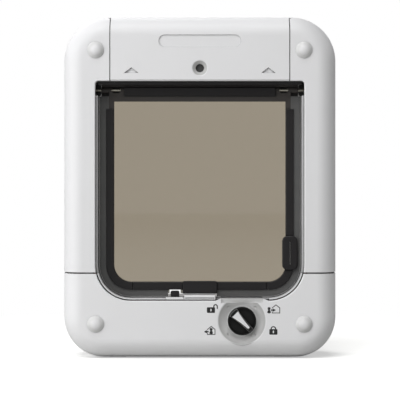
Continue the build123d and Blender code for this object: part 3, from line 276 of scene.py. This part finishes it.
def drawnMetal(name, look):
    # drawn or rolled metal: fine lines along X, so the highlight spreads across them
    material, tree, output, place = newMaterial(name)
    fine = 1 / (look["lineMm"] * mm)
    along = addNode(tree, "ShaderNodeMapping", {"Scale": (1 / (look["lineLengthMm"] * mm), fine, fine)},
                    {"Vector": place})
    lines = addNode(tree, "ShaderNodeTexNoise", {"Scale": 1.0, "Detail": 2.0},
                    {"Vector": along.outputs["Vector"]}).outputs["Fac"]
    tint = addNode(tree, "ShaderNodeMix",
                   {"data_type": "RGBA", "A": toLinear(look["dark"]), "B": toLinear(look["light"])},
                   {"Factor": lines})
    gloss = addNode(tree, "ShaderNodeMapRange", {
        "To Min": look["roughness"] - look["glossDrift"], "To Max": look["roughness"] + look["glossDrift"]},
        {"Value": lines})
    skin = addNode(tree, "ShaderNodeBump", {"Strength": look["lineStrength"], "Distance": look["lineDepthMm"] * mm},
                   {"Height": lines})
    shader = addNode(tree, "ShaderNodeBsdfPrincipled", {"Metallic": 1.0},
                     {"Base Color": socketOf(tint.outputs, "Result"), "Roughness": gloss.outputs["Result"],
                      "Normal": skin.outputs["Normal"]})
    tree.links.new(shader.outputs["BSDF"], output.inputs["Surface"])
    return material


# bright drawn steel pins, made warm all over by a painted reflection of the smoked pane
drawnSteel = drawnMetal("brightDrawnSteel", {
    "dark": "#b3afa2", "light": "#cbc8bd", "roughness": 0.45, "glossDrift": 0.05,
    "lineMm": 0.15, "lineLengthMm": 3.0, "lineDepthMm": 0.01, "lineStrength": 0.3})

# nickel plate on spring contacts: bright, a little yellow
nickelPlate = drawnMetal("nickelPlatedSpring", {
    "dark": "#b5b1a6", "light": "#d0ccc2", "roughness": 0.24, "glossDrift": 0.04,
    "lineMm": 0.2, "lineLengthMm": 1.0, "lineDepthMm": 0.008, "lineStrength": 0.3})

# zinc plate on the solenoid's folded yoke, dull with a blue cast
zincPlate = drawnMetal("zincPlatedYoke", {
    "dark": "#8d9196", "light": "#a7abb0", "roughness": 0.42, "glossDrift": 0.06,
    "lineMm": 0.4, "lineLengthMm": 1.2, "lineDepthMm": 0.01, "lineStrength": 0.3})
print("metals made")


def smokedPaneMaterial(look):
    # cast polycarbonate with smoke dye: clear, flat and evenly tinted, with hair-fine wiping marks in the gloss
    material, tree, output, place = newMaterial("smokedPolycarbonate")
    fine = 1 / (look["wipeMm"] * mm)
    wiped = addNode(tree, "ShaderNodeMapping", {
        "Rotation": (0, look["wipeAngle"], 0), "Scale": (1 / (look["wipeLengthMm"] * mm), fine, fine)},
        {"Vector": place})
    marks = addNode(tree, "ShaderNodeTexNoise", {"Scale": 1.0, "Detail": 3.0}, {"Vector": wiped.outputs["Vector"]})
    faint, full = look["wipeShare"]
    gloss = addNode(tree, "ShaderNodeMapRange", {
        "From Min": faint, "From Max": full, "To Min": look["roughness"], "To Max": look["wipeRoughness"]},
        {"Value": marks.outputs["Fac"]})
    shader = addNode(tree, "ShaderNodeBsdfPrincipled",
                     {"Base Color": toLinear(look["tint"]), "IOR": look["ior"], "Transmission Weight": 1.0},
                     {"Roughness": gloss.outputs["Result"]})
    tree.links.new(shader.outputs["BSDF"], output.inputs["Surface"])
    return material


smokedPane = smokedPaneMaterial({
    "tint": "#968d7d", "ior": 1.585, "roughness": 0.02, "wipeRoughness": 0.06,
    "wipeMm": 0.8, "wipeLengthMm": 25.0, "wipeAngle": 0.35, "wipeShare": (0.45, 0.8)})


def boardMaterial(look):
    # glass-epoxy board under green lacquer: paler tracks on a regular pitch show through it
    material, tree, output, place = newMaterial("lacqueredCircuitBoard")
    turned = addNode(tree, "ShaderNodeMapping", {"Rotation": (np.pi / 2, 0, 0)}, {"Vector": place})
    tracks = addNode(tree, "ShaderNodeTexBrick", {
        "Color1": toLinear(look["lacquer"]), "Color2": toLinear(look["lacquerDeep"]),
        "Mortar": toLinear(look["track"]), "Scale": 1.0, "Mortar Size": look["trackMm"] * mm,
        "Brick Width": look["padMm"] * mm * look["padsPerRun"], "Row Height": look["padMm"] * mm,
        "offset": look["stagger"]}, {"Vector": turned.outputs["Vector"]})
    skin = addNode(tree, "ShaderNodeBump", {"Strength": look["trackStrength"], "Distance": look["trackDepthMm"] * mm},
                   {"Height": tracks.outputs["Fac"]})
    shader = addNode(tree, "ShaderNodeBsdfPrincipled", {"IOR": look["ior"], "Roughness": look["roughness"]},
                     {"Base Color": tracks.outputs["Color"], "Normal": skin.outputs["Normal"]})
    tree.links.new(shader.outputs["BSDF"], output.inputs["Surface"])
    return material


lacqueredBoard = boardMaterial({
    "lacquer": "#1f5a33", "lacquerDeep": "#1b4f2d", "track": "#3f7d4f", "ior": 1.52, "roughness": 0.3,
    "trackMm": 0.3, "trackDepthMm": 0.03, "trackStrength": 0.4, "padMm": 2.5, "padsPerRun": 3, "stagger": 0.37})


def coilMaterial(look):
    # enamelled copper wire laid side by side: ridges of one wire's width across the depth of the coil, with painted
    # shade darker between the wires
    material, tree, output, place = newMaterial("enamelledCopperCoil")
    wavesPerUnit = 10 / np.pi  # of the wave texture at a scale of 1
    turns = addNode(tree, "ShaderNodeTexWave", {
        "bands_direction": "Y", "Scale": 1 / wavesPerUnit / (look["wireMm"] * mm), "Distortion": 0.0},
        {"Vector": place}).outputs["Fac"]
    tint = addNode(tree, "ShaderNodeMix",
                   {"data_type": "RGBA", "A": toLinear(look["shade"]), "B": toLinear(look["copper"])},
                   {"Factor": turns})
    skin = addNode(tree, "ShaderNodeBump", {"Strength": look["ridgeStrength"], "Distance": look["wireMm"] * mm / 3},
                   {"Height": turns})
    shader = addNode(tree, "ShaderNodeBsdfPrincipled", {"Metallic": 1.0, "Roughness": look["roughness"]},
                     {"Base Color": socketOf(tint.outputs, "Result"), "Normal": skin.outputs["Normal"]})
    tree.links.new(shader.outputs["BSDF"], output.inputs["Surface"])
    return material


enamelledCopper = coilMaterial({
    "copper": "#b8693c", "shade": "#7c3f20", "roughness": 0.32, "wireMm": 0.4, "ridgeStrength": 0.8})


def cellMaterial(look):
    # dry cell: printed sleeve with one pale band, bare steel at both ends, placed by the distance from the middle
    material, tree, output, place = newMaterial("sleevedDryCell")
    axes = addNode(tree, "ShaderNodeSeparateXYZ", {}, {"Vector": place})
    outwards = addNode(tree, "ShaderNodeMath", {"operation": "ABSOLUTE"}, {0: axes.outputs["X"]})
    share = addNode(tree, "ShaderNodeMapRange", {"From Min": look["innerEnd"], "From Max": look["outerEnd"]},
                    {"Value": outwards.outputs["Value"]}).outputs["Result"]
    bands = addNode(tree, "ShaderNodeValToRGB", {}, {"Fac": share})
    ramp = bands.color_ramp
    ramp.interpolation = "CONSTANT"
    bare = look["bareShare"]
    for position, part in ((bare, "sleeve"), (look["bandShare"], "band"), (1 - bare, "steel")):
        ramp.elements.new(position).color = toLinear(look[part])
    ramp.elements[0].color = toLinear(look["steel"])
    ramp.elements[-1].color = toLinear(look["steel"])
    sleeved = addNode(tree, "ShaderNodeMath", {"operation": "COMPARE", 1: 0.5, 2: 0.5 - bare}, {0: share})
    metal = addNode(tree, "ShaderNodeMath", {"operation": "SUBTRACT", 0: 1.0}, {1: sleeved.outputs["Value"]})
    shader = addNode(tree, "ShaderNodeBsdfPrincipled", {"IOR": look["ior"], "Roughness": look["roughness"]},
                     {"Base Color": bands.outputs["Color"], "Metallic": metal.outputs["Value"]})
    tree.links.new(shader.outputs["BSDF"], output.inputs["Surface"])
    return material


sleevedCell = cellMaterial({
    "innerEnd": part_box("battery_2")[0].x, "outerEnd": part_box("battery_2")[1].x, "ior": 1.53, "roughness": 0.32,
    "steel": "#c2c0ba", "sleeve": "#38424e", "band": "#c9cdd0", "bareShare": 0.035, "bandShare": 0.72})
print("pane, board, coil and cells made")

finishes = {
    funnelAbs: ["battery_cover"],
    whiteAbs: ["upper_casing", "outer_frame", "magnet_holder", "catch_guide", "knob_pointer"],
    capAbs: ["screw_cap_top_left", "screw_cap_top_right", "screw_cap_bottom_left", "screw_cap_bottom_right"],
    tunnelAbs: ["base_frame", "tunnel_liner"],
    coverAbs: ["lower_cover"],
    charcoalAbs: ["flap_frame"],
    greyElastomer: ["edge_seal_left", "edge_seal_right"],
    blackAbs: ["left_strip", "right_strip", "right_corner_strip", "bottom_left_strip", "bottom_right_strip",
               "top_strip", "magnet_block", "draught_strip", "catch", "hinge_bearing_left",
               "hinge_bearing_right"],
    podAbs: ["sensor_pod"],
    polishedAbs: ["lock_knob"],
    naturalAcetal: ["lock_cam", "battery_tray"],
    buttonSilicone: ["memory_button"],
    sinteredFerrite: ["sill_magnet", "flap_magnet"],
    chipEpoxy: ["reader_chip", "learn_switch"],
    drawnSteel: ["hinge_pin_left", "hinge_pin_right", "catch_plunger", "strike_plate"],
    nickelPlate: ["battery_contacts"],
    zincPlate: ["solenoid"],
    smokedPane: ["flap_pane"],
    lacqueredBoard: ["circuit_board"],
    enamelledCopper: ["aerial_coil"],
    sleevedCell: ["battery_1", "battery_2", "battery_3", "battery_4"],
}
for material, names in finishes.items():
    for name in names:
        nodes[name].data.materials.clear()
        nodes[name].data.materials.append(material)
print("finishes laid on", sum(map(len, finishes.values())), "nodes")


def strokeSheet(points, width):
    # ribbon of even width along a path, mitred: point +- width / 2 * (n0 + n1) / (1 + n0 . n1)
    points = np.asarray(points, float)
    ahead = np.diff(points, axis=0)
    ahead /= np.linalg.norm(ahead, axis=1)[:, None]
    normal = np.stack([-ahead[:, 1], ahead[:, 0]], 1)
    before, after = np.concatenate([normal[:1], normal]), np.concatenate([normal, normal[-1:]])
    mitre = (before + after) / (1 + (before * after).sum(1))[:, None]
    return np.stack([points + mitre * width / 2, points - mitre * width / 2]), False


def patchSheet(centre, halfSizes, roundness, lean=0.0, count=11):
    # square grid eased into a disc: (a u sqrt(1 - k v^2 / 2), b v sqrt(1 - k u^2 / 2)), narrowed upwards by the lean
    u, v = np.meshgrid(np.linspace(-1, 1, count), np.linspace(-1, 1, count))
    x = halfSizes[0] * u * np.sqrt(1 - roundness * v**2 / 2) * (1 - lean * v)
    z = halfSizes[1] * v * np.sqrt(1 - roundness * u**2 / 2)
    return np.stack([x, z], -1) + centre, False


def ringSheet(inner, outer):
    # plate with a hole: the span between two closed outlines of as many points
    return np.stack([inner, outer]), True


def ovalOutline(centre, halfSizes, power, count=48):
    # closed superellipse: a sign(cos t) |cos t|^(2 / p), b sign(sin t) |sin t|^(2 / p)
    t = np.linspace(0, 2 * np.pi, count, endpoint=False) + np.pi / count
    wave = np.stack([np.cos(t), np.sin(t)], 1)
    return centre + np.asarray(halfSizes) * np.sign(wave) * np.abs(wave) ** (2 / power)


def archPath(left, right, leftFoot, rise, rightFoot, count=17):
    # leg, half circle, leg: the middle x + r cos t, rise + r sin t
    radius = (right - left) / 2
    t = np.linspace(np.pi, 0, count)
    bow = np.stack([(left + right) / 2 + radius * np.cos(t), rise + radius * np.sin(t)], 1)
    return np.concatenate([[(left, leftFoot)], bow, [(right, rightFoot)]])


def filmPiece(name, sheets, origin, film, material):
    # each sheet of points becomes a thin closed slab: front grid, back grid and walls round its edges
    corners, quads, start = [], [], 0
    for points, closed in sheets:
        a, b, c = points[0, 0], points[0, 1], points[1, 0]
        turn = (b - a)[0] * (c - a)[1] - (b - a)[1] * (c - a)[0]
        points = points if turn > 0 else points[:, ::-1]
        rows, columns = points.shape[:2]
        count = rows * columns
        index = np.arange(count).reshape(rows, columns)
        onward = np.roll(index, -1, 1) if closed else index[:, 1:]
        here = index if closed else index[:, :-1]
        front = np.stack([here[:-1], onward[:-1], onward[1:], here[1:]], -1).reshape(-1, 4)
        edges = [np.stack([here[0], onward[0]], -1), np.stack([onward[-1], here[-1]], -1)]
        if not closed:
            edges += [np.stack([index[:-1, -1], index[1:, -1]], -1), np.stack([index[1:, 0], index[:-1, 0]], -1)]
        edges = np.concatenate(edges)
        walls = np.stack([edges[:, 0], edges[:, 0] + count, edges[:, 1] + count, edges[:, 1]], -1)
        x, z = points.reshape(-1, 2).T * mm
        for depth in (-film * mm, 0.0):
            corners.append(np.stack([origin[0] + x, np.full(count, origin[1] + depth), origin[2] + z], 1))
        quads.append(np.concatenate([front, front[:, ::-1] + count, walls]) + start)
        start += 2 * count
    mesh = bpy.data.meshes.new(name)
    mesh.from_pydata(np.concatenate(corners).tolist(), [], np.concatenate(quads).tolist())
    mesh.materials.append(material)
    piece = bpy.data.objects.new(name, mesh)
    bpy.context.scene.collection.objects.link(piece)
    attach(piece, "frame")


# the four printed signs round the dial, in millimetres from its axis, on the casing's flat front
signs = {
    "film": 0.04, "line": 0.5, "bow": 0.75,
    "lock": {"half": (2.95, 2.05), "power": 9, "keyhole": (0.5, 1.05), "keyholePower": 2.0},
    "openPadlockSign": {"lock": (-22.6, 7.9), "legs": (2.1, 4.6), "feet": (1.7, 0.9), "rise": 2.7},
    "closedPadlockSign": {"lock": (22.9, -8.0), "legs": (-1.65, 1.65), "feet": (1.7, 1.7), "rise": 2.1},
    "house": {"half": 2.75, "eaves": 3.7, "ridge": 5.9, "gap": (1.1, 3.3)},
    "arrow": {"shaft": 1.05, "head": 2.0, "half": 1.2, "tip": 0.06},
    "catGoesInSign": {"house": (24.8, 5.8), "cat": (19.75, 5.55), "arrow": (-3.6, -0.2), "arrowRise": 2.1},
    "catGoesOutSign": {"house": (-22.4, -9.9), "cat": (-22.45, -9.6), "arrow": (-1.95, -5.2), "arrowRise": 2.0},
    "catSize": 1.15,
    "catPatches": [  # body, head and ears, each as a share of the size
        {"at": (0.0, 1.15), "half": (0.98, 1.15), "roundness": 0.8, "lean": 0.32},
        {"at": (0.0, 2.95), "half": (0.92, 0.8), "roundness": 1.0},
        {"at": (-0.5, 3.65), "half": (0.2, 0.3), "roundness": 0.0, "lean": 0.8, "count": 3},
        {"at": (0.5, 3.65), "half": (0.2, 0.3), "roundness": 0.0, "lean": 0.8, "count": 3}],
}
signOrigin = (dial[0], coverFront, dial[2])


def lockBody(centre):
    # rounded plate with an upright keyhole through it
    lock = signs["lock"]
    keyhole = ovalOutline(centre, lock["keyhole"], lock["keyholePower"])
    return ringSheet(keyhole, ovalOutline(centre, lock["half"], lock["power"]))


def seatedCat(foot):
    # seen from behind: a pear-shaped body, a round head and two pointed ears
    size = signs["catSize"]
    sheets = []
    for patch in signs["catPatches"]:
        shape = {key: patch[key] for key in ("roundness", "lean", "count") if key in patch}
        sheets.append(patchSheet(foot + np.multiply(patch["at"], size), np.multiply(patch["half"], size), **shape))
    return sheets


def arrowSheets(tail, tip, height):
    # shaft and a head that narrows to a blunt point
    size = signs["arrow"]
    neck = tip - np.sign(tip - tail) * size["head"]
    shaft = strokeSheet([(tail, height), (neck, height)], size["shaft"])
    head = np.array([[(neck, height + side * size["half"]), (tip, height + side * size["tip"])] for side in (-1, 1)])
    return [shaft, (head, False)]


def houseOutline(foot):
    # outline of a gable, its left wall open where the arrow passes through
    x, z = foot
    house = signs["house"]
    left, right, eaves = x - house["half"], x + house["half"], z + house["eaves"]
    low, high = house["gap"]
    return strokeSheet([(left, z + low), (left, z), (right, z), (right, eaves), (x, z + house["ridge"]),
                        (left, eaves), (left, z + high)], signs["line"])


for name in ("openPadlockSign", "closedPadlockSign"):
    sign = signs[name]
    x, z = sign["lock"]
    bow = archPath(x + sign["legs"][0], x + sign["legs"][1], z + sign["feet"][0], z + sign["rise"],
                   z + sign["feet"][1])
    filmPiece(name, [lockBody(sign["lock"]), strokeSheet(bow, signs["bow"])], signOrigin, signs["film"], printInk)

for name in ("catGoesInSign", "catGoesOutSign"):
    sign = signs[name]
    x, z = sign["house"]
    arrow = arrowSheets(x + sign["arrow"][0], x + sign["arrow"][1], z + sign["arrowRise"])
    filmPiece(name, [houseOutline(sign["house"]), *seatedCat(sign["cat"]), *arrow],
              signOrigin, signs["film"], printInk)
print("signs printed")


# studio: pale floor, white surround, soft lamps from the left, from above and from behind; metres and watts
studio = {
    "floorReach": 6.0, "floorPoints": 9, "floorColour": "#f2f2f0", "floorBounce": "#c4c4c2", "floorLift": 0.45,
    "shadowReach": (0.22, 0.42), "surround": 0.19, "mirrored": 0.5,
    "leftLamp": {"at": (-1.14, -0.70, 0.10), "size": 1.2, "watts": 12.3},
    "topLamp": {"at": (-0.39, -1.33, 2.24), "size": 1.82, "watts": 43.0},
    "backLamp": {"at": (-0.50, 1.05, 1.20), "size": 1.2, "watts": 9.0},
}
white = (1, 1, 1, 1)


def lookFactors(tree):
    # one value for rays that look straight at the surround or through the pane, one for rays that mirror it
    path = addNode(tree, "ShaderNodeLightPath").outputs
    seen = addNode(tree, "ShaderNodeMath", {"operation": "MAXIMUM"},
                   {0: path["Is Camera Ray"], 1: path["Is Transmission Ray"]})
    return seen.outputs["Value"], path["Is Glossy Ray"]


world = bpy.data.worlds.new("studioSurround")
bpy.context.scene.world = world
world.use_nodes = True
tree = world.node_tree
tree.nodes.clear()
seen, mirrored = lookFactors(tree)
mirrorLevel = addNode(tree, "ShaderNodeMapRange",
                      {"To Min": studio["surround"], "To Max": studio["mirrored"]}, {"Value": mirrored})
level = addNode(tree, "ShaderNodeMapRange", {"To Max": 1.0},
                {"Value": seen, "To Min": mirrorLevel.outputs["Result"]})
surround = addNode(tree, "ShaderNodeBackground", {"Color": white}, {"Strength": level.outputs["Result"]})
addNode(tree, "ShaderNodeOutputWorld", {}, {"Surface": surround.outputs["Background"]})

# paper that is white to the eye and greyer to the light it throws back; beyond the shadow it is plain white
floorMaterial, tree, output, place = newMaterial("paleStudioPaper")
seen, mirrored = lookFactors(tree)
distance = addNode(tree, "ShaderNodeVectorMath", {"operation": "LENGTH"}, {"Vector": place})
shadowFades, shadowEnds = studio["shadowReach"]
beyond = addNode(tree, "ShaderNodeMapRange", {
    "interpolation_type": "SMOOTHSTEP", "From Min": shadowFades, "From Max": shadowEnds},
    {"Value": distance.outputs["Value"]})
plain = addNode(tree, "ShaderNodeMath", {"operation": "MULTIPLY"}, {0: beyond.outputs["Result"], 1: seen})
shade = addNode(tree, "ShaderNodeMix", {
    "data_type": "RGBA", "A": toLinear(studio["floorBounce"]), "B": toLinear(studio["floorColour"])},
    {"Factor": seen})
paper = addNode(tree, "ShaderNodeBsdfDiffuse", {}, {"Color": socketOf(shade.outputs, "Result")})
lift = addNode(tree, "ShaderNodeMapRange", {"To Max": studio["floorLift"]}, {"Value": seen})
glow = addNode(tree, "ShaderNodeEmission", {"Color": white}, {"Strength": lift.outputs["Result"]})
near = addNode(tree, "ShaderNodeAddShader", {}, {0: paper.outputs["BSDF"], 1: glow.outputs["Emission"]})
far = addNode(tree, "ShaderNodeEmission", {"Color": white, "Strength": 1.0})
both = addNode(tree, "ShaderNodeMixShader", {}, {
    "Fac": plain.outputs["Value"], 1: near.outputs["Shader"], 2: far.outputs["Emission"]})
tree.links.new(both.outputs["Shader"], output.inputs["Surface"])

# level square grid at the part's foot
count = studio["floorPoints"]
steps = np.linspace(-studio["floorReach"], studio["floorReach"], count)
across, away = np.meshgrid(steps, steps)
ground = np.stack([across, away, np.full_like(across, cadLow.z)], -1).reshape(-1, 3)
index = np.arange(count * count).reshape(count, count)
tiles = np.stack([index[:-1, :-1], index[:-1, 1:], index[1:, 1:], index[1:, :-1]], -1).reshape(-1, 4)
floorMesh = bpy.data.meshes.new("studioFloor")
floorMesh.from_pydata(ground.tolist(), [], tiles.tolist())
floorMesh.materials.append(floorMaterial)
floor = bpy.data.objects.new("studioFloor", floorMesh)
bpy.context.scene.collection.objects.link(floor)

for name in ("leftLamp", "topLamp", "backLamp"):
    lamp = bpy.data.lights.new(name, "AREA")
    lamp.shape = "DISK"
    lamp.size = studio[name]["size"]
    lamp.energy = studio[name]["watts"]
    holder = bpy.data.objects.new(name, lamp)
    bpy.context.scene.collection.objects.link(holder)
    holder.location = studio[name]["at"]
    holder.rotation_euler = (-holder.location).to_track_quat("-Z", "Y").to_euler()  # aimed at the origin
print("studio lit")

# camera square to the front; the part stands a little above the middle of the frame
view = {"distance": 1.1, "frameWidth": 0.29532, "outlineDepth": 0.014, "sensorMm": 36.0,
        "centrePx": (199.85, 187.04), "framePx": 400}
camera = bpy.data.cameras.new("frontCamera")
camera.sensor_width = view["sensorMm"]
camera.lens = camera.sensor_width * (view["distance"] - coverFront - view["outlineDepth"]) / view["frameWidth"]
camera.shift_x = 0.5 - view["centrePx"][0] / view["framePx"]
camera.shift_y = view["centrePx"][1] / view["framePx"] - 0.5
eye = bpy.data.objects.new("frontCamera", camera)
bpy.context.scene.collection.objects.link(eye)
eye.location = (0.0, coverFront - view["distance"], 0.0)
eye.rotation_euler = (np.pi / 2, 0.0, 0.0)
bpy.context.scene.camera = eye
bpy.context.scene.view_settings.view_transform = "Standard"
print("camera set")
